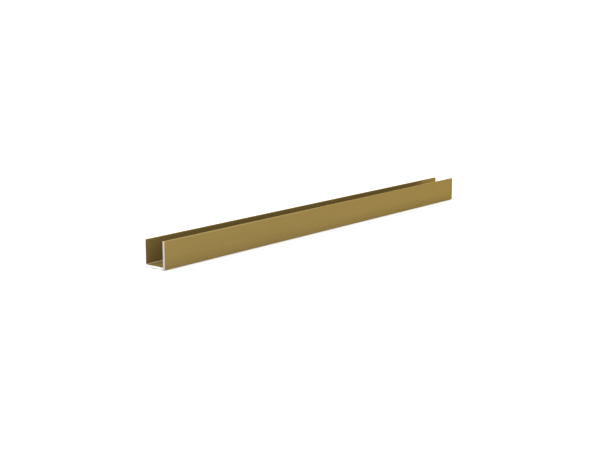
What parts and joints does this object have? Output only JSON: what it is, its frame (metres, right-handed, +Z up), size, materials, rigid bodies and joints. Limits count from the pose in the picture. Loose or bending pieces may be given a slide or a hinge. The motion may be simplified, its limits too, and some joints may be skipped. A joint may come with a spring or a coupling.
{
  "type": "threshold strip",
  "caption": "Straight open-ended U-channel with a taller front leg, bonding tape under its base and setting blocks on its floor, to hold the bottom edge of a fixed panel.",
  "frame": {"origin": "bottom centre of the bounding box: the middle of the strip on the surface it is laid on", "axes": "+X runs along the strip from its left to its right cut end, -Y points out of the taller front leg, +Z points up out of the open slot"},
  "size_m": [0.375, 0.02, 0.0204],
  "materials": {
    "gold_anodised": "satin brass-gold anodised skin on an extruded section, with bare cut ends",
    "white_foam": "matt closed-cell foam, double-sided adhesive",
    "release_paper": "smooth silicone-coated paper",
    "black_rubber": "matt black moulded rubber"
  },
  "bodies": {
    "root": {"channel": "gold_anodised", "bonding_tape_front": "white_foam", "bonding_tape_rear": "white_foam", "tape_liner_front": "release_paper", "tape_liner_rear": "release_paper", "setting_block_left": "black_rubber", "setting_block_right": "black_rubber"}
  },
  "joints": []
}
